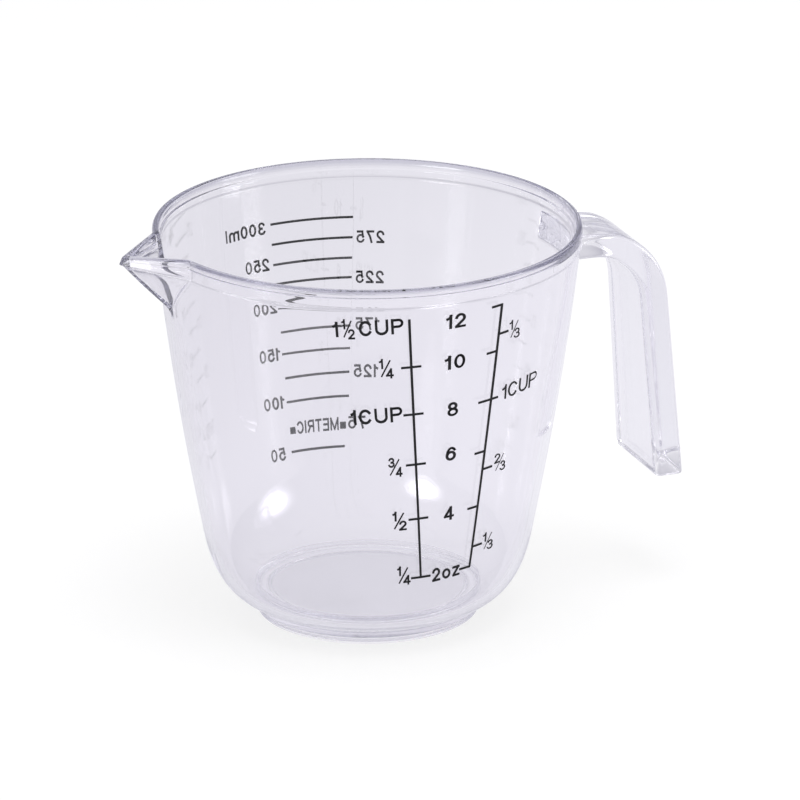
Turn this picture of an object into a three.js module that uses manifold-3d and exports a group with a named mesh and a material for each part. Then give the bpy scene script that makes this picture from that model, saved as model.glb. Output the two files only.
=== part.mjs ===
// A small clear measuring cup, injection moulded: a tapered bowl on a foot ring, a rim band that
// runs out into a V-shaped pouring lip, a solid hooked handle with a free end, and scales printed
// in black on the outside: cups and ounces on the front, millilitres on the back.
// Millimetres, +Z up, standing on the foot ring. The lip points to -X and the handle to +X,
// the cup and ounce scales face -Y and the millilitre scale faces +Y.
import * as THREE from 'three';
import { mergeVertices } from 'three/addons/utils/BufferGeometryUtils.js';
import Module from 'manifold-3d';

const wasm = await Module();
wasm.setup();

// Bowl.
const rimRadius = 46;
const cupHeight = 87.2;
const wallThickness = 1.6;
const rimBandHeight = 4.2;
const rimLedge = 0.5;
const rimEdge = 0.3;
const ledgeSlope = 0.1;
const shoulderHeight = 20.3;
const shoulderRadius = 36;
const bellyDepth = 0.65;
const footRadius = 24;
const footFlare = 0.5;
const footHeight = 3;
const footLand = 2.2;
const recessDepth = 1;
const recessSlope = 0.4;
const baseWall = 1.8;
const floorHeight = 6.6;
const floorRadius = 24.4;
const floorRise = 1.4;
const floorEdge = 0.25;

// Pouring lip.
const spoutReach = 56.2;
const spoutHalfAngle = 45;
const spoutDepth = 14.6;
const spoutTipDrop = 1.3;
const spoutTipRise = 1.2;
const spoutTipLean = 0.8;
const spoutWall = 1.5;

// Handle.
const handleReach = 69.1;
const handleDrop = 5.8;
const handleEnd = 25;
const handleRootThickness = 5.15;
const handleEndThickness = 6.45;
const handleOuterBend = 16;
const handleInnerBend = 10.6;
const handleLean = 3.3;
const handleRootWidth = 19;
const handleEndWidth = 23.6;
const handleEdge = 1.6;
const handleSeatGap = 0.25;
const handleBury = 6;

// Printed scales.
const inkThickness = 0.18;
const inkLift = 0.08;
const crossingLift = 0.01;
const barWidth = 0.5;
const tickWidth = 0.48;
const cupTick = 2.15;
const ounceTick = 2.6;
const cupTickRise = 0.03;
const ounceTickRise = 0.06;

// Facets.
const lipColumns = 7;
const besideColumns = 4;
const bodySteps = 74;
const spoutMargin = 6;
const leastLip = 0.8;
const lipLead = 1;
const seatSteps = 120;
const inkStep = 3;

const bandBottom = cupHeight - rimBandHeight;
const wallTopRadius = rimRadius - rimLedge;
const spoutFoot = cupHeight - spoutDepth;
const handleTop = cupHeight - handleDrop;
const degree = Math.PI / 180;
const mix = (a, b, t) => a + (b - a) * t;

// Degrees from the keel at which the lip's V meets a circle round the cup's axis.
function creaseTurn(keel, r) {
  const square = Math.min(keel * Math.sin(spoutHalfAngle * degree) / r, 1);
  return 90 - spoutHalfAngle - Math.acos(square) / degree;
}

// Degrees to each side of the keel that the lip's own columns of faces take up.
const spoutZone = creaseTurn(spoutReach, rimRadius) + spoutMargin;

// Outside radius of the wall at a height: a taper with a slight belly.
function wallRadius(z) {
  const t = (z - shoulderHeight) / (bandBottom - shoulderHeight);
  return mix(shoulderRadius, wallTopRadius, t) + 4 * bellyDepth * t * (1 - t);
}

// Keeps a geometry's positions only, welds it and drops the flat triangles left on an axis.
function weld(geometry) {
  const bare = new THREE.BufferGeometry();
  bare.setAttribute('position', geometry.getAttribute('position').clone());
  bare.setIndex(geometry.index ? Array.from(geometry.index.array) : null);
  const welded = mergeVertices(bare, 1e-4);
  const old = welded.index.array;
  const kept = [];
  for (let i = 0; i < old.length; i += 3) {
    const [a, b, c] = [old[i], old[i + 1], old[i + 2]];
    if (a !== b && b !== c && c !== a) kept.push(a, b, c);
  }
  welded.setIndex(kept);
  return welded;
}

function toSolid(geometry) {
  const welded = weld(geometry);
  const vertProperties = new Float32Array(welded.getAttribute('position').array);
  const triVerts = new Uint32Array(welded.index.array);
  return new wasm.Manifold(new wasm.Mesh({ numProp: 3, vertProperties, triVerts }));
}

function toGeometry(solid) {
  const mesh = solid.getMesh();
  const geometry = new THREE.BufferGeometry();
  geometry.setAttribute('position', new THREE.BufferAttribute(new Float32Array(mesh.vertProperties), 3));
  geometry.setIndex(Array.from(mesh.triVerts));
  return geometry;
}

// The bowl's section, from the middle of the recess under the floor, out and up the outside,
// over the rim and down the inside to the middle of the floor.
function bowlSection() {
  const section = [];
  const put = (r, z, face) => section.push({ r, z, face });
  const landInner = footRadius - footLand;
  put(0, recessDepth, 'under');
  put(landInner - recessSlope, recessDepth, 'under');
  put(landInner, 0, 'under');
  put(footRadius, 0, 'under');
  const footTop = new THREE.Vector2(footRadius + footFlare, footHeight);
  const shoulder = new THREE.Vector2(shoulderRadius, shoulderHeight);
  const across = shoulder.x - footTop.x;
  const up = shoulder.y - footTop.y;
  const base = new THREE.CubicBezierCurve(
    footTop,
    new THREE.Vector2(footTop.x + 0.65 * across, footTop.y + 0.08 * up),
    new THREE.Vector2(footTop.x + 0.9 * across, footTop.y + 0.53 * up),
    shoulder,
  );
  for (const point of base.getPoints(9)) put(point.x, point.y, 'under');
  const plainRows = 5;
  const lipRows = 6;
  for (let i = 1; i <= plainRows; i += 1) {
    const z = mix(shoulderHeight, spoutFoot - lipLead, i / plainRows);
    put(wallRadius(z), z, 'outside');
  }
  for (let i = 1; i <= lipRows; i += 1) {
    const z = mix(spoutFoot - lipLead, bandBottom, i / lipRows);
    put(wallRadius(z), z, 'outside');
  }
  put(rimRadius, bandBottom + ledgeSlope, 'band');
  put(rimRadius, cupHeight - rimEdge, 'band');
  put(rimRadius - rimEdge, cupHeight, 'band');
  const innerRadius = (z) => wallRadius(z) - wallThickness;
  put(innerRadius(cupHeight) + rimEdge, cupHeight, 'inside');
  put(innerRadius(cupHeight), cupHeight - rimEdge, 'inside');
  for (let i = 0; i <= lipRows; i += 1) {
    const z = mix(bandBottom, spoutFoot - lipLead, i / lipRows);
    put(innerRadius(z), z, 'inside');
  }
  const innerShoulder = shoulderHeight + wallThickness;
  for (let i = 1; i <= plainRows; i += 1) {
    const z = mix(spoutFoot - lipLead, innerShoulder, i / plainRows);
    put(innerRadius(z), z, 'inside');
  }
  // The base keeps an even wall round the turn, down to a trough beside the raised floor.
  const turnRows = 9;
  for (let i = turnRows; i >= 0; i -= 1) {
    const t = i / turnRows;
    const along = base.getTangent(t);
    const thick = mix(baseWall, wallThickness, t);
    const point = base.getPoint(t);
    const r = point.x - along.y * thick;
    if (r > floorRadius + 3 * floorEdge) put(r, point.y + along.x * thick, 'floor');
  }
  put(floorRadius + floorEdge, floorHeight - floorRise, 'floor');
  put(floorRadius, floorHeight, 'floor');
  put(0, floorHeight, 'floor');
  return section;
}

// How far the lip's keel stands from the cup's axis at a height, on each face of the wall.
function keelReach(z, face) {
  const start = wallRadius(spoutFoot);
  const end = spoutReach - rimLedge * Math.SQRT2;
  const climb = Math.min((z - spoutFoot) / (bandBottom - spoutFoot), 1);
  const keel = mix(start, end, climb);
  if (face === 'band') return spoutReach - spoutTipLean * (z - bandBottom) / rimBandHeight;
  if (face === 'inside') return keel - spoutWall * Math.SQRT2;
  return keel;
}

// The bowl is a revolve whose wall is drawn out to the lip: at each height the lip is a V in plan,
// and one column of the mesh to each side of the keel follows the crease between V and circle.
function bowlGeometry() {
  const section = bowlSection();
  const sideColumns = lipColumns + besideColumns;
  const steps = 2 * sideColumns + bodySteps;
  const lathe = new THREE.LatheGeometry(section.map((p) => new THREE.Vector2(p.r, p.z)), steps);
  const position = lathe.getAttribute('position');
  const slope = 1 / Math.tan(spoutHalfAngle * degree);
  const evenCrease = spoutZone * lipColumns / sideColumns;
  section.forEach((point, j) => {
    const onWall = point.face === 'outside' || point.face === 'band' || point.face === 'inside';
    const drawn = onWall && point.z > spoutFoot;
    const keel = drawn ? keelReach(point.z, point.face) : 0;
    const below = Math.min(Math.max(2 * (spoutFoot - point.z) / spoutFoot, 0), 1);
    const crease = drawn
      ? Math.max(creaseTurn(keel, point.r), leastLip)
      : mix(leastLip, evenCrease, below);
    const inBand = Math.max(point.z - bandBottom, 0) / rimBandHeight;
    const climb = Math.min((point.z - spoutFoot) / (bandBottom - spoutFoot), 1);
    const rise = point.face === 'inside' ? 0 : spoutTipRise * climb * (1 - inBand);
    for (let i = 0; i <= steps; i += 1) {
      const column = i % steps - sideColumns;
      const aside = Math.abs(column);
      let turn = mix(spoutZone, 360 - spoutZone, (column - sideColumns) / bodySteps);
      if (aside <= lipColumns) turn = Math.sign(column) * crease * aside / lipColumns;
      else if (aside <= sideColumns) {
        turn = Math.sign(column) * mix(crease, spoutZone, (aside - lipColumns) / besideColumns);
      }
      const angle = turn * degree;
      let { r, z } = point;
      if (drawn && aside < lipColumns) {
        const lip = keel / (Math.cos(angle) + slope * Math.abs(Math.sin(angle)));
        const out = Math.max(lip - r, 0) / (spoutReach - rimRadius);
        r = Math.max(r, lip);
        z += Math.min(out, 1) * (rise - spoutTipDrop * inBand);
      }
      position.setXYZ(i * section.length + j, -r * Math.cos(angle), -r * Math.sin(angle), z);
    }
  });
  return weld(lathe);
}

// The handle is a flat bar bent like a hook, drawn from the side and given its width, wider
// towards its free end, with rounded edges. Its root is cut to the curve of the wall.
function handleGeometry() {
  const rootX = wallRadius(handleTop) - handleBury;
  const outerTop = handleReach - handleLean;
  const innerTop = outerTop - mix(handleRootThickness, handleEndThickness, 0.9);
  const underside = handleTop - handleRootThickness;
  const round = 0.5523;
  const side = new THREE.Shape();
  side.moveTo(rootX, handleTop);
  side.lineTo(outerTop - handleOuterBend, handleTop);
  side.bezierCurveTo(
    outerTop - handleOuterBend * (1 - round), handleTop,
    outerTop, handleTop - handleOuterBend * (1 - round),
    outerTop, handleTop - handleOuterBend,
  );
  side.lineTo(handleReach, handleEnd);
  side.lineTo(handleReach - handleEndThickness, handleEnd);
  side.lineTo(innerTop, underside - handleInnerBend);
  side.bezierCurveTo(
    innerTop, underside - handleInnerBend * (1 - round),
    innerTop - handleInnerBend * (1 - round), underside,
    innerTop - handleInnerBend, underside,
  );
  side.lineTo(rootX, underside);
  side.closePath();
  const bar = new THREE.ExtrudeGeometry(side, {
    depth: handleRootWidth - 2 * handleEdge,
    bevelEnabled: true,
    bevelThickness: handleEdge,
    bevelSize: handleEdge,
    bevelOffset: -handleEdge,
    bevelSegments: 2,
    curveSegments: 9,
  });
  bar.translate(0, 0, handleEdge - handleRootWidth / 2);
  bar.rotateX(Math.PI / 2);
  const position = bar.getAttribute('position');
  for (let i = 0; i < position.count; i += 1) {
    const along = (handleTop - position.getZ(i)) / (handleTop - handleEnd);
    position.setY(i, position.getY(i) * mix(1, handleEndWidth / handleRootWidth, along));
  }
  const seat = [new THREE.Vector2(0, handleEnd)];
  const seatRows = 8;
  for (let i = 0; i <= seatRows; i += 1) {
    const z = mix(handleEnd, cupHeight, i / seatRows);
    seat.push(new THREE.Vector2(wallRadius(z) + handleSeatGap, z));
  }
  seat.push(new THREE.Vector2(0, cupHeight));
  const wall = new THREE.LatheGeometry(seat, seatSteps);
  wall.rotateX(Math.PI / 2);
  return toGeometry(toSolid(bar).subtract(toSolid(wall)));
}

// A line of ink lying on the outside of the wall. An azimuth of 0 is the front, 90 the handle
// and 180 the back. Layer lifts crossing lines a hair apart, so that they join cleanly. Bow is
// how many degrees the middle of the line stands to the side, as a straight print does on a cone.
function inkLine(fromAzimuth, fromZ, toAzimuth, toZ, width, layer = 0, bow = 0) {
  const midZ = (fromZ + toZ) / 2;
  const run = (toAzimuth - fromAzimuth) * degree * wallRadius(midZ);
  const length = Math.hypot(run, toZ - fromZ);
  const steps = Math.max(2, Math.ceil(length / inkStep));
  const strip = new THREE.BoxGeometry(1, width, inkThickness + 2 * layer, steps, 1, 1);
  const position = strip.getAttribute('position');
  for (let i = 0; i < position.count; i += 1) {
    const t = position.getX(i) + 0.5;
    const aside = position.getY(i);
    const z = mix(fromZ, toZ, t) + aside * run / length;
    const azimuth = (mix(fromAzimuth, toAzimuth, t) + 4 * bow * t * (1 - t)) * degree
      - (aside * (toZ - fromZ)) / length / wallRadius(midZ);
    const r = wallRadius(z) + inkLift + inkThickness / 2 + position.getZ(i);
    position.setXYZ(i, r * Math.sin(azimuth), -r * Math.cos(azimuth), z);
  }
  return weld(strip);
}

// A scale bar with its ticks, in one print: each tick stands at a height and reaches so many
// millimetres to the left of the bar and to its right, rising a little to the right.
function scaleBar({ top, bottom, bow, rise, ticks }) {
  const azimuthAt = (z) => {
    const t = (z - bottom.z) / (top.z - bottom.z);
    return mix(bottom.azimuth, top.azimuth, t) + 4 * bow * t * (1 - t);
  };
  const half = tickWidth / 2;
  let print = toSolid(inkLine(
    bottom.azimuth, bottom.z - half, top.azimuth, top.z + half, barWidth, 0, bow,
  ));
  for (const { z, left = barWidth / 3, right = barWidth / 3 } of ticks) {
    const turn = 1 / wallRadius(z) / degree;
    print = print.add(toSolid(inkLine(
      azimuthAt(z) - left * turn, z - left * rise,
      azimuthAt(z) + right * turn, z + right * rise,
      tickWidth, crossingLift,
    )));
  }
  return toGeometry(print);
}

const clear = () => new THREE.MeshStandardMaterial({
  color: 0xe6e6ee, roughness: 0.06, metalness: 0, transparent: true, opacity: 0.45,
});
const ink = () => new THREE.MeshStandardMaterial({ color: 0x1a1a1c, roughness: 0.5, metalness: 0 });

const cup = new THREE.Group();
cup.name = 'cup';
function add(name, geometry, material) {
  const mesh = new THREE.Mesh(geometry, material);
  mesh.name = name;
  cup.add(mesh);
}

add('bowl', bowlGeometry(), clear());
add('handle', handleGeometry(), clear());

// Where a mark stands on the wall, as a share of the way from the shoulder to the rim band.
const markHeight = (share) => mix(shoulderHeight, bandBottom, share);

// Fill lines of the cup scale, from a quarter cup up, and the end of its bar.
const cupHeights = [-0.017, 0.211, 0.419, 0.608, 0.784].map(markHeight);
add('cup_scale', scaleBar({
  top: { azimuth: -9.55, z: markHeight(0.956) },
  bottom: { azimuth: -2.4, z: cupHeights[0] },
  bow: -0.6,
  rise: cupTickRise,
  ticks: cupHeights.map((z) => ({ z, left: cupTick, right: cupTick })),
}), ink());

// The ounce scale has ounces on its left and thirds of a cup on its right; the tick at eight
// ounces serves both.
const ounceHeights = [-0.01, 0.22, 0.427, 0.619, 0.796, 0.964].map(markHeight);
const thirdHeights = [0.065, 0.358, 0.857].map(markHeight);
add('ounce_scale', scaleBar({
  top: { azimuth: 17.7, z: ounceHeights[5] },
  bottom: { azimuth: 16.2, z: ounceHeights[0] },
  bow: -0.3,
  rise: ounceTickRise,
  ticks: [
    ...ounceHeights.map((z, i) => (i === 3
      ? { z, left: 1.25 * ounceTick, right: 0.7 * ounceTick }
      : { z, left: ounceTick })),
    ...thirdHeights.map((z) => ({ z, right: ounceTick })),
  ],
}), ink());

// Millilitre lines on the back: the mark's height as a share, and the azimuths where it starts on
// the handle's side and ends on the lip's side.
const millilitreLines = {
  50: [0.055, 167.7, 187.6],
  100: [0.231, 165.8, 187.8],
  125: [0.315, 165.5, 187.6],
  150: [0.399, 165.1, 188.1],
  175: [0.478, 164.9, 187.9],
  200: [0.563, 164.6, 188.2],
  225: [0.644, 164.2, 188.4],
  250: [0.713, 164, 188.4],
  275: [0.785, 163.8, 188.4],
  300: [0.857, 163.6, 188.4],
};
for (const [millilitres, [share, start, end]] of Object.entries(millilitreLines)) {
  const z = markHeight(share);
  add(`metric_line_${millilitres}`, inkLine(start, z, end, z, tickWidth), ink());
}

// The origin is under the middle of the whole outline, on the table.
cup.position.x = (spoutReach - handleReach) / 2;
const model = new THREE.Group();
model.add(cup);
export default model;
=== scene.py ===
import math

import bmesh
import bpy
from mathutils import Matrix, Vector
from mathutils.geometry import interpolate_bezier


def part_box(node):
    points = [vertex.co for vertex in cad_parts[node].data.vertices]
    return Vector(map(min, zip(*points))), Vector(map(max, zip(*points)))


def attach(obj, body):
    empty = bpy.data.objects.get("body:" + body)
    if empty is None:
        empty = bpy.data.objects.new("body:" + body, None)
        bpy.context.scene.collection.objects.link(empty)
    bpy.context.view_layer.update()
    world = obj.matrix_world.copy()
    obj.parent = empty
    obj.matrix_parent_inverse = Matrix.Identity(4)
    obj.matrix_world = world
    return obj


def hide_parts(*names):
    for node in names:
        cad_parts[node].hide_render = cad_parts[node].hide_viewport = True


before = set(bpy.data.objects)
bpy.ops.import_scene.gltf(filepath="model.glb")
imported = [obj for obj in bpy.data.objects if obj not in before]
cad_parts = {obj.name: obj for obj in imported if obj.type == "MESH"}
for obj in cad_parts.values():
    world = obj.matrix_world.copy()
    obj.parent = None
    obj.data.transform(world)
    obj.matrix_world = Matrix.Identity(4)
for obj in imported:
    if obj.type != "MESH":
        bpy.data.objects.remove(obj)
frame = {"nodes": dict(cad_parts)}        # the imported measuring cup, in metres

scene = bpy.context.scene
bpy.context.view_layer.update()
mm = 0.001
print("frame loaded:", ", ".join(frame["nodes"]))


# small helpers

def hexToLinear(code):
    channels = [int(code[i:i + 2], 16) / 255 for i in (0, 2, 4)]
    linear = [c / 12.92 if c <= 0.04045 else ((c + 0.055) / 1.055) ** 2.4 for c in channels]
    return (*linear, 1.0)


def addNode(tree, kind, settings=None, links=None):
    node = tree.nodes.new(kind)
    for name, value in (settings or {}).items():
        if hasattr(node, name):
            setattr(node, name, value)
        else:
            node.inputs[name].default_value = value
    for name, source in (links or {}).items():
        tree.links.new(source, node.inputs[name])
    return node


def newMaterial(name):
    material = bpy.data.materials.new(name)
    material.use_nodes = True
    material.node_tree.nodes.clear()
    return material, material.node_tree


def mix(a, b, t):
    return a + (b - a) * t


def finishPiece(name, mesh, material, slot, *nodes, smooth=True):
    data = bpy.data.meshes.new(name)
    mesh.to_mesh(data)
    mesh.free()
    data.materials.append(material)
    data.polygons.foreach_set("use_smooth", [smooth] * len(data.polygons))
    piece = bpy.data.objects.new(name, data)
    scene.collection.objects.link(piece)
    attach(piece, "root")
    if nodes:
        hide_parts(*nodes)
    return piece


# materials

plastic = {
    "tint": "FDFCFE",          # faint lavender cast of the bare plastic
    "rimPaintedShade": "CAC9D5",       # painted shade: the rim's top face darkened smoky grey-lavender, where the eye looks down into the wall
    "ior": 1.59,
    "depthColour": (0.40, 0.39, 0.56),
    "depthDensity": 3.0,       # per metre, so only rims and edges look deep
    "flowMm": 14.0,            # moulding waves in the polish, and the strength and depth of their bump
    "flowBump": (0.12, 0.25),
    "scuffMm": 1.6,
    "scuffed": (0.55, 0.85),   # values of the noise between which the polish turns hazy
    "haze": (0.012, 0.05),
    "floorHaze": 0.14,         # rubbed floor of the cup
}


# Polystyrene, injection moulded in a polished tool: water clear through the wall, grey-lavender where
# the eye looks along it at rims and edges, painted shade on the rim's top face, faint flow waves and a
# little rubbed haze.
def clearStyrene():
    material, tree = newMaterial("clearMouldedPolystyrene")
    place = addNode(tree, "ShaderNodeTexCoord").outputs["Object"]
    flow = addNode(tree, "ShaderNodeTexNoise",
                   {"Scale": 1 / (plastic["flowMm"] * mm), "Detail": 1.0}, {"Vector": place})
    scuff = addNode(tree, "ShaderNodeTexNoise",
                    {"Scale": 1 / (plastic["scuffMm"] * mm), "Detail": 4.0, "Roughness": 0.7},
                    {"Vector": place})
    bare, rubbed = plastic["scuffed"]
    least, most = plastic["haze"]
    haze = addNode(tree, "ShaderNodeMapRange",
                   {"From Min": bare, "From Max": rubbed, "To Min": least, "To Max": most},
                   {"Value": scuff.outputs["Fac"]})
    cupFloor = addNode(tree, "ShaderNodeAttribute", {"attribute_name": "cupFloor"})
    rough = addNode(tree, "ShaderNodeMapRange", {"To Max": plastic["floorHaze"]},
                    {"Value": cupFloor.outputs["Fac"], "To Min": haze.outputs["Result"]})
    strength, deep = plastic["flowBump"]
    bump = addNode(tree, "ShaderNodeBump", {"Strength": strength, "Distance": deep * mm},
                   {"Height": flow.outputs["Fac"]})
    # painted shade: the top face of the rim takes the darker rim colour in place of the plain tint
    rimShadeMask = addNode(tree, "ShaderNodeAttribute", {"attribute_name": "rimShadeMask"})
    cast = addNode(tree, "ShaderNodeMixRGB", {"Color1": hexToLinear(plastic["tint"]),
                                              "Color2": hexToLinear(plastic["rimPaintedShade"])},
                   {"Fac": rimShadeMask.outputs["Fac"]})
    surface = addNode(tree, "ShaderNodeBsdfPrincipled",
                      {"IOR": plastic["ior"], "Transmission Weight": 1.0},
                      {"Base Color": cast.outputs["Color"], "Roughness": rough.outputs["Result"],
                       "Normal": bump.outputs["Normal"]})
    depth = addNode(tree, "ShaderNodeVolumeAbsorption",
                    {"Color": (*plastic["depthColour"], 1.0), "Density": plastic["depthDensity"]})
    addNode(tree, "ShaderNodeOutputMaterial", None,
            {"Surface": surface.outputs["BSDF"], "Volume": depth.outputs["Volume"]})
    return material


inkLook = {
    "dense": "121214",
    "thin": "1E1E21",
    "grainMm": 0.7,
    "grainSpan": (0.35, 0.75),             # values of the noise from dense to thin ink
    "grainBump": (0.2, 0.03),
    "roughness": 0.55,
    "sheen": 0.2,
}


# Black screen ink, baked on: dull, a shade thinner in places where the squeegee left less.
def screenInk():
    material, tree = newMaterial("blackScreenInk")
    place = addNode(tree, "ShaderNodeTexCoord").outputs["Object"]
    grain = addNode(tree, "ShaderNodeTexNoise",
                    {"Scale": 1 / (inkLook["grainMm"] * mm), "Detail": 3.0}, {"Vector": place})
    shade = addNode(tree, "ShaderNodeValToRGB", None, {"Fac": grain.outputs["Fac"]})
    for stop, spot, code in zip(shade.color_ramp.elements, inkLook["grainSpan"], ("dense", "thin")):
        stop.position = spot
        stop.color = hexToLinear(inkLook[code])
    strength, deep = inkLook["grainBump"]
    bump = addNode(tree, "ShaderNodeBump", {"Strength": strength, "Distance": deep * mm},
                   {"Height": grain.outputs["Fac"]})
    surface = addNode(tree, "ShaderNodeBsdfPrincipled",
                      {"Roughness": inkLook["roughness"], "Specular IOR Level": inkLook["sheen"]},
                      {"Base Color": shade.outputs["Color"], "Normal": bump.outputs["Normal"]})
    addNode(tree, "ShaderNodeOutputMaterial", None, {"Surface": surface.outputs["BSDF"]})
    return material


styrene = clearStyrene()
ink = screenInk()
print("materials ready")


# the moulding: bowl, foot, rim band, pouring lip and handle in one shot of plastic, in millimetres

bowl = {
    "rimRadius": 46.0, "height": 87.2, "bandHeight": 4.2, "ledge": 0.5, "wall": 1.6,
    "shoulderHeight": 20.3, "shoulderRadius": 36.0, "belly": 0.65,
    "skin": 0.16,              # plastic that the printed strips are sunk into
    "footRadius": 24.0, "footFlare": 0.5, "footHeight": 3.0, "footLand": 2.2,
    "recess": 1.0, "recessSlope": 0.4,
    "floorHeight": 6.6, "floorRadius": 24.4, "floorRise": 1.4, "floorEdge": 0.25, "baseWall": 1.8,
    "basePulls": [(0.65, 0.08), (0.9, 0.53)],    # of the curve from the foot to the shoulder
    "ledgeSlope": 0.1,
    "rimStep": 0.2, "stepHeight": 85.2, "stepSlope": 0.1,      # small step inside the rim
    # rounding of the rim, ledge, step, foot, trough and floor
    "edge": 0.45, "ledgeEdge": 0.2, "stepEdge": 0.08, "footEdge": 0.2,
    "troughEdge": 0.1, "floorRound": 0.06,
    # rows of faces: up the wall, inside below the rim, under the base and in from the floor's edge
    "plainRows": [36.0, 54.0], "innerRows": [80.0, 77.4], "recessRow": 12.0, "floorRow": 6.0,
    "baseRows": 7,
    "holdRow": 2.6, "holdRoom": 8.0,       # second row beside a rounded corner, where there is room
    "slack": 0.1,              # room for telling the rim's rows from the others
    "columns": 78, "smoothing": 2,
}
lip = {
    "reach": 56.2, "halfAngle": 45.0, "depth": 14.6, "wall": 1.5,
    "tipDrop": 1.3, "tipRise": 1.2, "tipLean": 0.8,
    "rows": [-3.0, -1.0, 0.7, 2.2],        # rows of faces above and below the lip's foot
    # columns of faces to each side of the keel: shares of the way from the keel to the crease
    # where the V meets the round wall, and from there to the plain wall, which lies margin degrees on
    "inside": [0.0, 0.05, 0.2, 0.45, 0.72, 0.9, 1.0],
    "beside": [0.06, 0.2, 0.5, 1.0],
    "margin": 7.0,
    "least": 1.0,
    "spread": 0.6,             # share of the lip's zone that its columns spread over, half way down
}
handle = {
    "reach": 69.1, "drop": 5.8, "end": 25.0, "lean": 3.3, "rootThickness": 5.15, "endThickness": 6.45,
    "outerBend": 16.0, "innerBend": 10.6, "rootWidth": 19.0, "endWidth": 23.6,
    "thickened": 0.9,          # share of the growth in thickness that the bend ends with
    "fillet": 0.7,             # root fillet on the wall
    "flatten": 3.0,            # way from the fillet to where the bar's section is flat
    # columns and rows of faces across the bar, and rings along its root, bend and straight leg
    "across": [-1.0, -0.83, -0.45, 0.0, 0.45, 0.83, 1.0],
    "through": [0.0, 0.29, 0.5, 0.71, 1.0],
    "rootRings": [0.15, 0.4, 0.7, 1.6, 2.7, 3.7],
    "bendSteps": 8,
    "legRings": [0.16, 0.33, 0.5, 0.67, 0.84, 0.965, 1.0],
}
tiny = 0.01                    # smaller than any step in the moulding

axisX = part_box("handle")[1][0] - handle["reach"] * mm      # the cup's own axis in the frame
bandBottom = bowl["height"] - bowl["bandHeight"]
lipFoot = bowl["height"] - lip["depth"]
handleTop = bowl["height"] - handle["drop"]
handleUnder = handleTop - handle["rootThickness"]


def wallRadius(z):
    t = (z - bowl["shoulderHeight"]) / (bandBottom - bowl["shoulderHeight"])
    taper = mix(bowl["shoulderRadius"], bowl["rimRadius"] - bowl["ledge"], t)
    return taper + 4 * bowl["belly"] * t * (1 - t)


def skinRadius(z):
    return wallRadius(z) + bowl["skin"]


def innerRadius(z):
    return wallRadius(z) - bowl["wall"]


def sweep(start, pullA, pullB, end, count):
    curve = interpolate_bezier(*(Vector((*p, 0)) for p in (start, pullA, pullB, end)), count)
    return [(point.x, point.y) for point in curve]


# heights where the handle's root needs rows of faces on the wall
def rootRows():
    low = handleUnder - handle["fillet"]
    high = handleTop + handle["fillet"]
    return [mix(low, high, t) for t in handle["through"]]


# half of the cup's section, from the middle underneath, up the outside and down the inside;
# a third value cuts the corner there, which the subdivision then rounds
def cupSection():
    footEdge = bowl["footEdge"]
    landInner = bowl["footRadius"] - bowl["footLand"]
    footTop = (bowl["footRadius"] + bowl["footFlare"], bowl["footHeight"])
    shoulder = (bowl["shoulderRadius"], bowl["shoulderHeight"])
    across, up = shoulder[0] - footTop[0], shoulder[1] - footTop[1]
    pulls = [(footTop[0] + a * across, footTop[1] + b * up) for a, b in bowl["basePulls"]]
    base = sweep(footTop, *pulls, shoulder, bowl["baseRows"])
    corners = [(0.0, bowl["recess"], 0), (bowl["recessRow"], bowl["recess"], 0),
               (landInner - bowl["recessSlope"], bowl["recess"], footEdge), (landInner, 0.0, footEdge),
               (bowl["footRadius"], 0.0, footEdge), (*footTop, footEdge)]
    corners += [(r, z, 0) for r, z in base[1:]]
    lipRows = [lipFoot + row for row in lip["rows"]]
    for z in [*bowl["plainRows"], *lipRows, *rootRows()]:
        corners.append((skinRadius(z), z, 0))
    corners += [(skinRadius(bandBottom), bandBottom, bowl["ledgeEdge"]),
                (bowl["rimRadius"], bandBottom + bowl["ledgeSlope"], bowl["ledgeEdge"]),
                (bowl["rimRadius"], bowl["height"], bowl["edge"])]
    stepTop, step = bowl["stepHeight"], bowl["rimStep"]
    corners += [(innerRadius(bowl["height"]) + step, bowl["height"], bowl["edge"]),
                (innerRadius(stepTop) + step, stepTop, bowl["stepEdge"]),
                (innerRadius(stepTop), stepTop - bowl["stepSlope"], bowl["stepEdge"])]
    for z in [bandBottom, *bowl["innerRows"], *reversed(lipRows), *reversed(bowl["plainRows"])]:
        corners.append((innerRadius(z), z, 0))
    # inside, the base keeps an even wall down to a trough round the raised floor
    for i in range(len(base) - 1, 0, -1):
        along = Vector(base[min(i + 1, len(base) - 1)]) - Vector(base[i - 1])
        inward = Vector((-along.y, along.x)).normalized()
        inner = Vector(base[i]) + inward * mix(bowl["baseWall"], bowl["wall"], i / (len(base) - 1))
        if inner.x > bowl["floorRadius"] + 3 * bowl["floorEdge"]:
            corners.append((inner.x, inner.y, 0))
    floorRadius, floorHeight = bowl["floorRadius"], bowl["floorHeight"]
    corners += [(floorRadius + bowl["floorEdge"], floorHeight - bowl["floorRise"], bowl["troughEdge"]),
                (floorRadius, floorHeight, bowl["floorRound"]),
                (floorRadius - bowl["floorRow"], floorHeight, 0), (0.0, floorHeight, 0)]

    section = []
    hold = bowl["holdRow"]
    for i, (r, z, cut) in enumerate(corners):
        here = Vector((r, z))
        if not cut:
            section.append(here)
            continue
        for other, rows in ((corners[i - 1], (hold, 1)), (corners[i + 1], (1, hold))):
            away = Vector(other[:2]) - here
            for row in rows:
                if row == 1 or away.length > bowl["holdRoom"] * cut:
                    section.append(here + away.normalized() * cut * row)
    print("section rows:", len(section))
    return section


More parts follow.
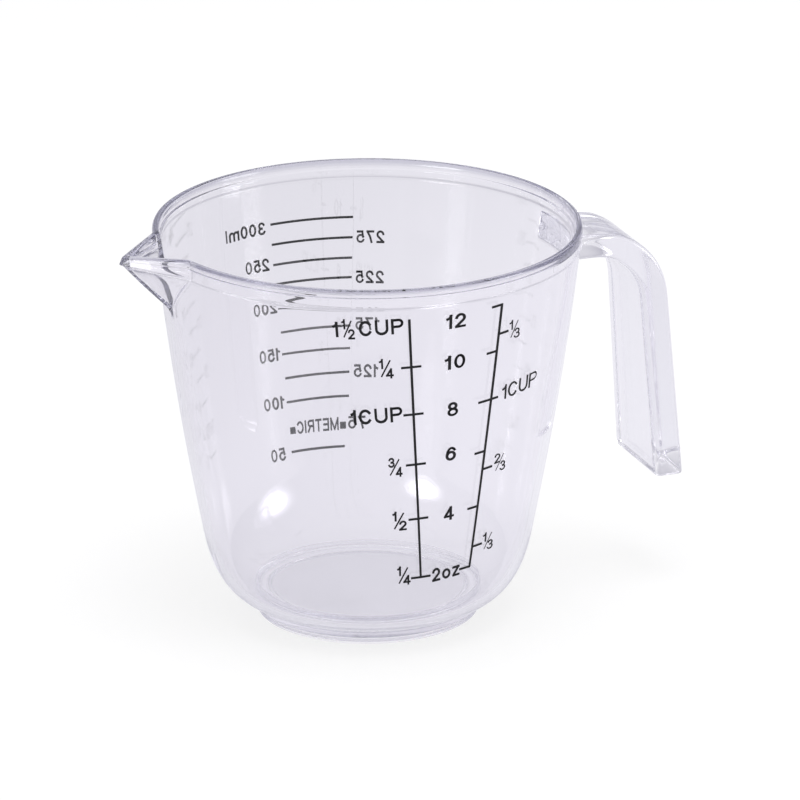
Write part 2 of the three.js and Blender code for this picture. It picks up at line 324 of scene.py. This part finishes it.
# how far from the axis the keel of the lip stands, for a point of the section on the drawn wall
def keelReach(r, z):
    climb = min((z - lipFoot) / (bandBottom - lipFoot), 1)
    keel = mix(wallRadius(lipFoot), lip["reach"] - bowl["ledge"] * math.sqrt(2), climb)
    if r < wallRadius(z) - bowl["wall"] / 2:
        return keel - lip["wall"] * math.sqrt(2) + r - innerRadius(z)
    if z > bandBottom and r > bowl["rimRadius"] - bowl["edge"] - bowl["slack"]:
        inBand = (z - bandBottom) / bowl["bandHeight"]
        return lip["reach"] - lip["tipLean"] * inBand - (bowl["rimRadius"] - r)
    return keel


# turn from the keel at which the V of the lip meets the round wall
def creaseTurn(keel, r):
    half = math.radians(lip["halfAngle"])
    return math.pi / 2 - half - math.acos(min(keel * math.sin(half) / r, 1))


# place of a point of the section in one of the columns counted from the keel: round the plain wall
# the columns are even, and above the lip's foot they follow its V and its crease
def lipPlace(r, z, column, columns):
    aside = abs(column)
    inside, beside = lip["inside"], lip["beside"]
    least = math.radians(lip["least"])
    zone = creaseTurn(lip["reach"], bowl["rimRadius"]) + math.radians(lip["margin"])
    sideColumns = len(inside) - 1 + len(beside)
    drawn = z > lipFoot
    if drawn:
        keel = keelReach(r, z)
        crease = max(creaseTurn(keel, r), least)
    else:
        crease = mix(least, zone * lip["spread"], min(2 * (lipFoot - z) / lipFoot, 1))
    if aside < len(inside):
        turn = crease * inside[aside]
    elif aside <= sideColumns:
        turn = mix(crease, zone, beside[aside - len(inside)])
    else:
        # on the far side the columns meet those of the handle's root
        shares = handle["across"][len(handle["across"]) // 2:]
        rootTurn = math.asin((handle["rootWidth"] / 2 + handle["fillet"]) / wallRadius(handleTop))
        fromHandle = columns // 2 - aside
        if fromHandle < len(shares):
            turn = math.pi - rootTurn * shares[fromHandle]
        else:
            plain = columns // 2 - sideColumns - len(shares) + 1
            turn = mix(zone, math.pi - rootTurn, (aside - sideColumns) / plain)
    if drawn and aside < len(inside) - 1:
        pointed = keel / (math.cos(turn) + math.sin(turn) / math.tan(math.radians(lip["halfAngle"])))
        out = max(pointed - r, 0) / (lip["reach"] - bowl["rimRadius"])
        inBand = max(z - bandBottom, 0) / bowl["bandHeight"]
        climb = min((z - lipFoot) / (bandBottom - lipFoot), 1)
        innerFace = r < wallRadius(z) - bowl["wall"] / 2
        rise = 0 if innerFace else lip["tipRise"] * climb * (1 - inBand)
        r = max(r, pointed)
        z += min(out, 1) * (rise - lip["tipDrop"] * inBand)
    turn = math.copysign(turn, column)
    return (-r * math.cos(turn), -r * math.sin(turn), z)


# outer and inner edge of the bent bar, seen from the side, from the root to the free end
def barStations():
    outerX = handle["reach"] - handle["lean"]
    innerX = outerX - mix(handle["rootThickness"], handle["endThickness"], handle["thickened"])
    outerHub = Vector((outerX - handle["outerBend"], handleTop - handle["outerBend"]))
    innerHub = Vector((innerX - handle["innerBend"], handleUnder - handle["innerBend"]))
    stations = []
    for step in range(handle["bendSteps"] + 1):
        turn = math.pi / 2 * (1 - step / handle["bendSteps"])
        way = Vector((math.cos(turn), math.sin(turn)))
        stations.append((outerHub + way * handle["outerBend"], innerHub + way * handle["innerBend"]))
    outerEnd = Vector((handle["reach"], handle["end"]))
    innerEnd = Vector((handle["reach"] - handle["endThickness"], handle["end"]))
    outerStart, innerStart = stations[-1]
    for t in handle["legRings"]:
        stations.append((outerStart.lerp(outerEnd, t), innerStart.lerp(innerEnd, t)))
    return stations


def halfWidth(z):
    t = (handleTop - z) / (handleTop - handle["end"])
    return mix(handle["rootWidth"], handle["endWidth"], t) / 2


def wallX(y, z):
    return math.sqrt(skinRadius(z) ** 2 - y ** 2)


def buildMoulding():
    mesh = bmesh.new()
    across = mesh.verts.layers.float.new("across")
    through = mesh.verts.layers.float.new("through")
    rimShadeMask = mesh.verts.layers.float.new("rimShadeMask")
    cupFloor = mesh.verts.layers.float.new("cupFloor")
    points = [mesh.verts.new((p.x, 0, p.y)) for p in cupSection()]
    lines = [mesh.edges.new(pair) for pair in zip(points, points[1:])]
    bmesh.ops.spin(mesh, geom=points + lines, axis=(0, 0, 1), cent=(0, 0, 0), angle=2 * math.pi,
                   steps=bowl["columns"], use_merge=True)
    bmesh.ops.remove_doubles(mesh, verts=mesh.verts, dist=tiny / 10)

    stepAngle = 2 * math.pi / bowl["columns"]
    rows = rootRows()
    columnsAside = len(handle["across"]) // 2
    for vert in mesh.verts:
        r, z = math.hypot(vert.co.x, vert.co.y), vert.co.z
        # marks the rim's top face, which gets painted shade
        vert[rimShadeMask] = z > bowl["height"] - bowl["edge"] - bowl["slack"]
        vert[cupFloor] = z > bowl["floorHeight"] - tiny and r < bowl["floorRadius"]
        if r < tiny:
            continue
        fromKeel = round(math.atan2(-vert.co.y, -vert.co.x) / stepAngle)
        column = round(math.atan2(vert.co.y, vert.co.x) / stepAngle)
        outside = r > wallRadius(z) - bowl["wall"] / 2
        row = min(range(len(rows)), key=lambda i: abs(rows[i] - z))
        onRoot = abs(column) <= columnsAside and outside and abs(rows[row] - z) < tiny
        vert[across] = column + columnsAside + 1 if onRoot else 0
        vert[through] = row
        vert.co = lipPlace(r, z, fromKeel, bowl["columns"])

    # the handle grows out of the faces of its root, ring by ring
    face = [f for f in mesh.faces if all(v[across] > 0 for v in f.verts)]
    print("handle root faces:", len(face))

    def grow(place):
        nonlocal face
        grown = bmesh.ops.extrude_face_region(mesh, geom=face)["geom"]
        bmesh.ops.delete(mesh, geom=face, context="FACES")
        face = [g for g in grown if isinstance(g, bmesh.types.BMFace)]
        for vert in (g for g in grown if isinstance(g, bmesh.types.BMVert)):
            u = handle["across"][round(vert[across]) - 1]
            v = handle["through"][round(vert[through])]
            vert.co = place(u, v)

    fillet = handle["fillet"]
    for away in handle["rootRings"]:
        flare = fillet - math.sqrt(max(fillet ** 2 - max(fillet - away, 0) ** 2, 0))
        flat = min(max((away - fillet) / handle["flatten"], 0), 1)

        def rootPlace(u, v):
            z = mix(handleUnder - flare, handleTop + flare, v)
            y = u * (halfWidth(z) + flare)
            return (mix(wallX(y, z) + away, wallRadius(handleTop) + away, flat), y, z)

        grow(rootPlace)
    for outer, inner in barStations()[1:]:

        def barPlace(u, v):
            z = mix(inner.y, outer.y, v)
            return (mix(inner.x, outer.x, v), u * halfWidth(z), z)

        grow(barPlace)

    bmesh.ops.recalc_face_normals(mesh, faces=mesh.faces)
    bmesh.ops.scale(mesh, vec=(mm, mm, mm), verts=mesh.verts)
    bmesh.ops.translate(mesh, vec=(axisX, 0, 0), verts=mesh.verts)
    openEdges = sum(not edge.is_manifold for edge in mesh.edges)
    print("moulding:", len(mesh.faces), "faces,", openEdges, "open edges")
    piece = finishPiece("cupMoulding", mesh, styrene, "clear_plastic", "bowl", "handle")
    smooth = piece.modifiers.new("roundedEdges", "SUBSURF")
    smooth.levels = bowl["smoothing"]
    smooth.render_levels = bowl["smoothing"]


buildMoulding()


# printed scales: the lines are the frame's own strips, the numerals and words are set here

for nodeName, node in frame["nodes"].items():
    if "scale" in nodeName or "line" in nodeName:
        for materialSlot in node.material_slots:
            materialSlot.material = ink

# each row: runs of the label, azimuth of its middle (0 front, 90 handle, 180 back), height of its
# middle, width, and how far it leans from the level, in degrees and millimetres
cupWords = {
    "capital": 3.5, "stroke": 0.6,
    "labels": [
        (("1", "1/2", "CUP"), -20.5, 78.7, 14.9, 3.3), (("1/4",), -15.5, 69.4, 3.05, 3.0),
        (("1", "CUP"), -18.1, 58.4, 10.9, 4.0), (("3/4",), -12.4, 46.2, 3.05, 2.5),
        (("1/2",), -10.6, 33.3, 3.1, 2.5), (("1/4",), -8.4, 20.0, 2.95, 3.0),
    ],
}
thirdWords = {
    "capital": 3.4, "stroke": 0.42,
    "labels": [
        (("1/3",), 23.2, 74.2, 3.1, 4.0), (("1", "CUP"), 28.3, 60.2, 11.1, 3.5),
        (("2/3",), 23.5, 43.3, 3.3, 5.0), (("1/3",), 23.1, 24.7, 3.1, 5.0),
    ],
}
ounceWords = {
    "capital": 3.25, "stroke": 0.54,
    "labels": [
        (("12",), 3.5, 79.0, 4.62, 1.5), (("10",), 3.9, 69.6, 4.77, 2.5), (("8",), 4.2, 58.6, 2.5, 3.0),
        (("6",), 4.7, 48.1, 2.45, 3.5), (("4",), 5.7, 33.8, 2.4, 4.5), (("2oz",), 6.9, 19.5, 6.6, 5.5),
    ],
}
millilitreWords = {
    "capital": 2.8, "stroke": 0.46,
    "labels": [
        (("300ml",), 197.3, 73.5, 11.1, 0.0), (("250",), 193.9, 65.4, 6.3, 0.0),
        (("200",), 192.9, 56.1, 6.2, 0.0), (("150",), 192.8, 45.6, 5.6, 0.0),
        (("100",), 192.8, 35.0, 5.6, 0.0), (("50",), 193.2, 23.7, 4.0, 0.0),
        (("275",), 158.6, 69.6, 6.3, 0.0), (("225",), 158.8, 60.7, 6.3, 0.0),
        (("175",), 159.5, 50.6, 5.6, 0.0), (("125",), 160.0, 40.2, 5.6, 0.0),
        (("75",), 163.3, 28.9, 4.0, 0.0), (("#METRIC#",), 177.3, 28.8, 13.4, 0.0),
    ],
}
lettering = {
    "gap": 0.17,               # between letters, as a share of a capital
    "under": 0.05, "over": 0.2,            # ink from inside the skin to just proud of it
    "fractionHeight": 1.33, "numeralShare": 0.5, "fractionStroke": 0.68, "fractionGap": 0.16,
    "second": (0.6, 0.12),     # start of the lower numeral, as shares of the upper one and of the height
    "slash": 0.28, "slashEnds": [(0.12, 0.14), (0.66, 0.88)],
    "arcStep": 15.0,           # degrees between the points of an arc
    "sharpest": 0.6,           # cosine that limits how far a stroke's corner runs out
}

# strokes of each letter in a box one wide and one high, after its width as a share of a capital;
# a stroke holds points (x, y) and arcs (middle x, y, half width, half height, from, to)
glyphs = {
    "0": (0.66, [[(0.5, 0.5, 0.5, 0.5, 90, 450)]]),
    "1": (0.34, [[(1, 0), (1, 1)], [(1, 0.97), (0.62, 0.8), (-0.1, 0.74)]]),
    "2": (0.66, [[(0.5, 0.71, 0.48, 0.29, 170, -38), (0.03, 0.03)], [(0, 0), (1, 0)]]),
    "3": (0.66, [[(0.47, 0.75, 0.43, 0.25, 160, -90)], [(0.47, 0.26, 0.51, 0.26, 90, -160)]]),
    "4": (0.70, [[(0.74, 0), (0.74, 1)], [(0.72, 0.98), (0.02, 0.27)], [(0, 0.25), (1, 0.25)]]),
    "5": (0.66, [[(0.92, 1), (0.16, 1)], [(0.17, 1), (0.07, 0.5)],
                 [(0.47, 0.33, 0.52, 0.33, 148, -155)]]),
    "6": (0.66, [[(0.5, 0.32, 0.48, 0.32, 90, 450)], [(0.55, 0.42, 0.53, 0.58, 42, 180), (0.02, 0.32)]]),
    "7": (0.64, [[(0, 1), (1, 1)], [(0.98, 0.98), (0.55, 0.5), (0.32, 0)]]),
    "8": (0.66, [[(0.5, 0.76, 0.42, 0.24, 90, 450)], [(0.5, 0.26, 0.5, 0.26, 90, 450)]]),
    "C": (0.86, [[(0.5, 0.5, 0.5, 0.5, 38, 322)]]),
    "U": (0.86, [[(0, 1), (0.5, 0.36, 0.5, 0.36, 180, 360), (1, 1)]]),
    "P": (0.80, [[(0, 0), (0, 1)], [(0, 1), (0.62, 0.74, 0.38, 0.26, 90, -90), (0, 0.48)]]),
    "M": (0.95, [[(0, 0), (0, 1)], [(0, 1), (0.5, 0.02)], [(0.5, 0.02), (1, 1)], [(1, 1), (1, 0)]]),
    "E": (0.70, [[(0, 0), (0, 1)], [(0, 1), (1, 1)], [(0, 0.52), (0.92, 0.52)], [(0, 0), (1, 0)]]),
    "T": (0.74, [[(0, 1), (1, 1)], [(0.5, 1), (0.5, 0)]]),
    "R": (0.80, [[(0, 0), (0, 1)], [(0, 1), (0.62, 0.75, 0.34, 0.25, 90, -90), (0, 0.5)],
                 [(0.6, 0.5), (1, 0)]]),
    "I": (0.14, [[(0.5, 0), (0.5, 1)]]),
    "o": (0.70, [[(0.5, 0.36, 0.5, 0.36, 90, 450)]]),
    "z": (0.64, [[(0, 0.72), (0.96, 0.72)], [(0.94, 0.7), (0.04, 0.02)], [(0, 0), (1, 0)]]),
    "m": (1.05, [[(0, 0), (0, 0.72)], [(0.25, 0.46, 0.25, 0.26, 180, 0), (0.5, 0)],
                 [(0.75, 0.46, 0.25, 0.26, 180, 0), (1, 0)]]),
    "l": (0.14, [[(0.5, 0), (0.5, 1)]]),
    "#": (0.68, [[(0, y), (1, y)] for y in (0.1, 0.25, 0.4, 0.55)]),       # a filled square
}


def strokePoints(stroke):
    points = []
    for item in stroke:
        if len(item) == 2:
            points.append(Vector(item))
            continue
        x, y, wide, high, first, last = item
        steps = max(2, round(abs(last - first) / lettering["arcStep"]))
        for i in range(steps + 1):
            turn = math.radians(mix(first, last, i / steps))
            points.append(Vector((x + wide * math.cos(turn), y + high * math.sin(turn))))
    return points


# one stroke as a flat ribbon: its left side is laid as edges and drawn across to the right
def inkStroke(mesh, points, half):
    closed = (points[0] - points[-1]).length < tiny
    if closed:
        points = points[:-1]
    else:
        points[0] = points[0] + (points[0] - points[1]).normalized() * half
        points[-1] = points[-1] + (points[-1] - points[-2]).normalized() * half
    count = len(points)
    sides = []
    for i, here in enumerate(points):
        before = points[i - 1] if i or closed else here
        after = points[(i + 1) % count] if i + 1 < count or closed else here
        if before is here:
            before = here * 2 - after
        if after is here:
            after = here * 2 - before
        way = ((here - before).normalized() + (after - here).normalized()).normalized()
        bend = max((after - here).normalized().dot(way), lettering["sharpest"])
        sides.append(Vector((-way.y, way.x)) * half / bend)
    left = [mesh.verts.new((*(p + s), 0)) for p, s in zip(points, sides)]
    pairs = list(zip(left, left[1:])) + ([(left[-1], left[0])] if closed else [])
    lines = [mesh.edges.new(pair) for pair in pairs]
    grown = bmesh.ops.extrude_edge_only(mesh, edges=lines)["geom"]
    right = {tuple(v.co): v for v in grown if isinstance(v, bmesh.types.BMVert)}
    for vert, point, side in zip(left, points, sides):
        right[tuple(vert.co)].co = (*(point - side), 0)


# letters of one run, from x onwards; returns where the next one starts
def inkRun(mesh, run, x, y, capital, stroke):
    for letter in run:
        share, strokes = glyphs[letter]
        wide = max(share * capital - stroke, 0)
        high = capital - stroke
        left, low = x + stroke / 2, y + stroke / 2
        for item in strokes:
            points = [Vector((left + p.x * wide, low + p.y * high)) for p in strokePoints(item)]
            inkStroke(mesh, points, stroke / 2)
        x += wide + stroke + lettering["gap"] * capital
    return x


# a fraction: a small numeral high on the left, a slash and a small numeral low on the right
def inkFraction(mesh, fraction, x, capital, stroke):
    over, under = fraction.split("/")
    tall = lettering["fractionHeight"] * capital
    numeral = lettering["numeralShare"] * tall
    thin = lettering["fractionStroke"] * stroke
    low = (capital - tall) / 2
    gap = lettering["fractionGap"] * capital
    x += gap / 2
    right = inkRun(mesh, over, x, low + tall - numeral, numeral, thin)
    across, aside = lettering["second"]
    end = inkRun(mesh, under, mix(x, right, across) + aside * tall, low, numeral, thin)
    slash = [Vector((mix(x, end, along), low + up * tall)) for along, up in lettering["slashEnds"]]
    inkStroke(mesh, slash, lettering["slash"] * stroke)
    return end + gap


# one group of labels: each is laid flat, given its thickness, width and lean, and bent round the wall
def printWords(name, group):
    whole = bmesh.new()
    for runs, azimuth, height, width, lean in group["labels"]:
        mesh = bmesh.new()
        x = 0
        for run in runs:
            if "/" in run:
                x = inkFraction(mesh, run, x, group["capital"], group["stroke"])
            else:
                x = inkRun(mesh, run, x, 0, group["capital"], group["stroke"])
        bmesh.ops.solidify(mesh, geom=mesh.faces[:], thickness=lettering["over"] - lettering["under"])
        bmesh.ops.recalc_face_normals(mesh, faces=mesh.faces)
        low, high = [Vector([end(v.co[i] for v in mesh.verts) for i in range(3)]) for end in (min, max)]
        middle = (low + high) / 2
        bmesh.ops.translate(mesh, vec=(-middle.x, -middle.y, -low.z), verts=mesh.verts)
        bmesh.ops.scale(mesh, vec=(width / (high.x - low.x), 1, 1), verts=mesh.verts)
        tilt = Matrix.Rotation(math.radians(lean), 3, "Z")
        bmesh.ops.rotate(mesh, cent=(0, 0, 0), matrix=tilt, verts=mesh.verts)
        for vert in mesh.verts:
            z = height + vert.co.y
            r = wallRadius(z) + lettering["under"] + vert.co.z
            turn = math.radians(azimuth) + vert.co.x / wallRadius(height)
            vert.co = (axisX / mm + r * math.sin(turn), -r * math.cos(turn), z)
        bmesh.ops.scale(mesh, vec=(mm, mm, mm), verts=mesh.verts)
        data = bpy.data.meshes.new("label")
        mesh.to_mesh(data)
        mesh.free()
        whole.from_mesh(data)
        bpy.data.meshes.remove(data)
    finishPiece(name, whole, ink, "scale_ink", smooth=False)
    print(name, "printed,", len(group["labels"]), "labels")


printWords("cupNumerals", cupWords)
printWords("thirdNumerals", thirdWords)
printWords("ounceNumerals", ounceWords)
printWords("millilitreNumerals", millilitreWords)


# stage: pale floor, white surround, soft boxes and the camera

stage = {
    "floorSize": 6.0,
    "floorColour": "F6F6F8",
    "floorGrain": 900.0,       # per metre
    "floorBump": (0.03, 0.1),
    "floorLift": 0.8,          # share of plain white that the eye sees, the rest keeps the shadow
    "dimRays": 0.75,           # strength of the white surround as it lights dull surfaces
    # colours that show in and through the clear walls: the floor, with painted shade that darkens it to
    # the far left along a way over a span in metres, and the room's walls up to its ceiling
    "farPaintedShadeInPlastic": (0.69, 0.683, 0.742),
    "nearInPlastic": (0.823, 0.818, 0.88),
    "nearWay": (0.765, -0.645, 0.0),
    "nearSpan": (-0.12, -0.01),
    "wallsInPlastic": (0.5, 0.495, 0.56),
    "ceilingInPlastic": (0.95, 0.95, 0.97),
    "ceilingFrom": 0.7,        # sine of the elevation at which the ceiling starts
    "boxes": [                 # heading from the front, elevation, distance, width, height, watts
        (-63.0, 8.0, 1.0, 0.52, 0.28, 1.5),
        (56.0, 8.0, 1.0, 0.58, 0.36, 1.9),
        (0.0, 80.0, 1.2, 0.7, 0.7, 7.5),
    ],
    "overhead": 60.0,          # from this elevation up, a box leaves no image in the plastic
    # sheets of each box, from the soft edge to the bright middle: share of its size, share of its watts
    "sheets": [(1.25, 0.2), (1.0, 0.35), (0.75, 0.45)], "sheetGap": 0.01,
    "bounces": 256,            # light runs far inside the clear walls
}
view = {
    "heading": 20.8, "elevation": 19.49,      # degrees to the lip side of the front, and above the table
    "distance": 1.5628, "aside": 0.00693, "height": 0.046975,
    "focalPixels": 7263.8, "framePixels": 800, "sensor": 36.0,
}


# share of rays that see the surround as such, and its colour: white to the eye, paler in the plastic
def surround(tree, inPlastic):
    path = addNode(tree, "ShaderNodeLightPath")
    either = addNode(tree, "ShaderNodeMath", {"operation": "MAXIMUM"})
    tree.links.new(path.outputs["Is Camera Ray"], either.inputs[0])
    tree.links.new(path.outputs["Is Glossy Ray"], either.inputs[1])
    both = addNode(tree, "ShaderNodeMath", {"operation": "MAXIMUM"})
    tree.links.new(either.outputs["Value"], both.inputs[0])
    tree.links.new(path.outputs["Is Transmission Ray"], both.inputs[1])
    colour = addNode(tree, "ShaderNodeMixRGB", {"Color2": (1, 1, 1, 1)},
                     {"Fac": path.outputs["Is Camera Ray"], "Color1": inPlastic})
    return both.outputs["Value"], colour.outputs["Color"]


def paleFloor():
    material, tree = newMaterial("palePaperFloor")
    place = addNode(tree, "ShaderNodeTexCoord").outputs["Object"]
    grain = addNode(tree, "ShaderNodeTexNoise", {"Scale": stage["floorGrain"], "Detail": 2.0},
                    {"Vector": place})
    strength, deep = stage["floorBump"]
    bump = addNode(tree, "ShaderNodeBump", {"Strength": strength, "Distance": deep * mm},
                   {"Height": grain.outputs["Fac"]})
    dull = addNode(tree, "ShaderNodeBsdfDiffuse", {"Color": hexToLinear(stage["floorColour"])},
                   {"Normal": bump.outputs["Normal"]})
    # painted shade: the floor seen in the plastic darkens from the near colour to the far one along this
    # way
    along = addNode(tree, "ShaderNodeVectorMath", {"operation": "DOT_PRODUCT"}, {"Vector": place})
    along.inputs[1].default_value = stage["nearWay"]
    far, close = stage["nearSpan"]
    near = addNode(tree, "ShaderNodeMapRange", {"From Min": far, "From Max": close},
                   {"Value": along.outputs["Value"]})
    pale = addNode(tree, "ShaderNodeMixRGB", {"Color1": (*stage["farPaintedShadeInPlastic"], 1.0),
                                              "Color2": (*stage["nearInPlastic"], 1.0)},
                   {"Fac": near.outputs["Result"]})
    seen, colour = surround(tree, pale.outputs["Color"])
    white = addNode(tree, "ShaderNodeEmission", {"Strength": 1.0}, {"Color": colour})
    share = addNode(tree, "ShaderNodeMath", {"operation": "MULTIPLY"})
    tree.links.new(seen, share.inputs[0])
    share.inputs[1].default_value = stage["floorLift"]
    both = addNode(tree, "ShaderNodeMixShader", None, {"Fac": share.outputs["Value"]})
    tree.links.new(dull.outputs["BSDF"], both.inputs[1])
    tree.links.new(white.outputs["Emission"], both.inputs[2])
    addNode(tree, "ShaderNodeOutputMaterial", None, {"Surface": both.outputs["Shader"]})
    return material


def buildStage():
    mesh = bmesh.new()
    bmesh.ops.create_grid(mesh, x_segments=1, y_segments=1, size=stage["floorSize"] / 2)
    data = bpy.data.meshes.new("floor")
    mesh.to_mesh(data)
    mesh.free()
    data.materials.append(paleFloor())
    floor = bpy.data.objects.new("floor", data)
    scene.collection.objects.link(floor)

    world = bpy.data.worlds.new("whiteStudio")
    scene.world = world
    world.use_nodes = True
    tree = world.node_tree
    tree.nodes.clear()
    way = addNode(tree, "ShaderNodeNewGeometry").outputs["Incoming"]
    down = addNode(tree, "ShaderNodeSeparateXYZ", None, {"Vector": way})
    climb = addNode(tree, "ShaderNodeMapRange", {"From Min": 0.0, "From Max": -stage["ceilingFrom"]},
                    {"Value": down.outputs["Z"]})
    room = addNode(tree, "ShaderNodeMixRGB", {"Color1": (*stage["wallsInPlastic"], 1.0),
                                              "Color2": (*stage["ceilingInPlastic"], 1.0)},
                   {"Fac": climb.outputs["Result"]})
    seen, colour = surround(tree, room.outputs["Color"])
    lit = addNode(tree, "ShaderNodeMixRGB", {"Color1": (*[stage["dimRays"]] * 3, 1.0)},
                  {"Fac": seen, "Color2": colour})
    sky = addNode(tree, "ShaderNodeBackground", {"Strength": 1.0}, {"Color": lit.outputs["Color"]})
    addNode(tree, "ShaderNodeOutputWorld", None, {"Surface": sky.outputs["Background"]})

    middle = Vector((axisX, 0, bowl["height"] * mm / 2))
    for i, (heading, elevation, distance, width, height, watts) in enumerate(stage["boxes"]):
        h, e = math.radians(heading), math.radians(elevation)
        way = Vector((math.sin(h) * math.cos(e), -math.cos(h) * math.cos(e), math.sin(e)))
        for sheet, (wide, part) in enumerate(stage["sheets"]):
            light = bpy.data.lights.new(f"softBox{i + 1}sheet{sheet + 1}", "AREA")
            light.shape = "ELLIPSE"
            light.size, light.size_y = width * wide, height * wide
            light.energy = watts * part
            box = bpy.data.objects.new(light.name, light)
            box.location = middle + way * (distance - sheet * stage["sheetGap"])
            box.rotation_euler = way.to_track_quat("Z", "Y").to_euler()
            box.visible_glossy = elevation < stage["overhead"]
            box.visible_transmission = elevation < stage["overhead"]
            scene.collection.objects.link(box)


def buildCamera():
    h, e = math.radians(view["heading"]), math.radians(view["elevation"])
    right = Vector((math.cos(h), -math.sin(h), 0))
    ahead = Vector((math.sin(h) * math.cos(e), math.cos(h) * math.cos(e), -math.sin(e)))
    up = right.cross(ahead)
    lens = bpy.data.cameras.new("photoCamera")
    lens.sensor_width = view["sensor"]
    lens.lens = view["focalPixels"] / view["framePixels"] * view["sensor"]
    camera = bpy.data.objects.new("photoCamera", lens)
    turned = Matrix((right, up, -ahead)).transposed().to_4x4()
    target = Vector((axisX, 0, view["height"]))
    turned.translation = target - ahead * view["distance"] + right * view["aside"]
    camera.matrix_world = turned
    scene.collection.objects.link(camera)
    scene.camera = camera


buildStage()
buildCamera()
scene.view_settings.view_transform = "Standard"
scene.cycles.max_bounces = stage["bounces"]
scene.cycles.glossy_bounces = stage["bounces"]
scene.cycles.transmission_bounces = stage["bounces"]
print("stage set")
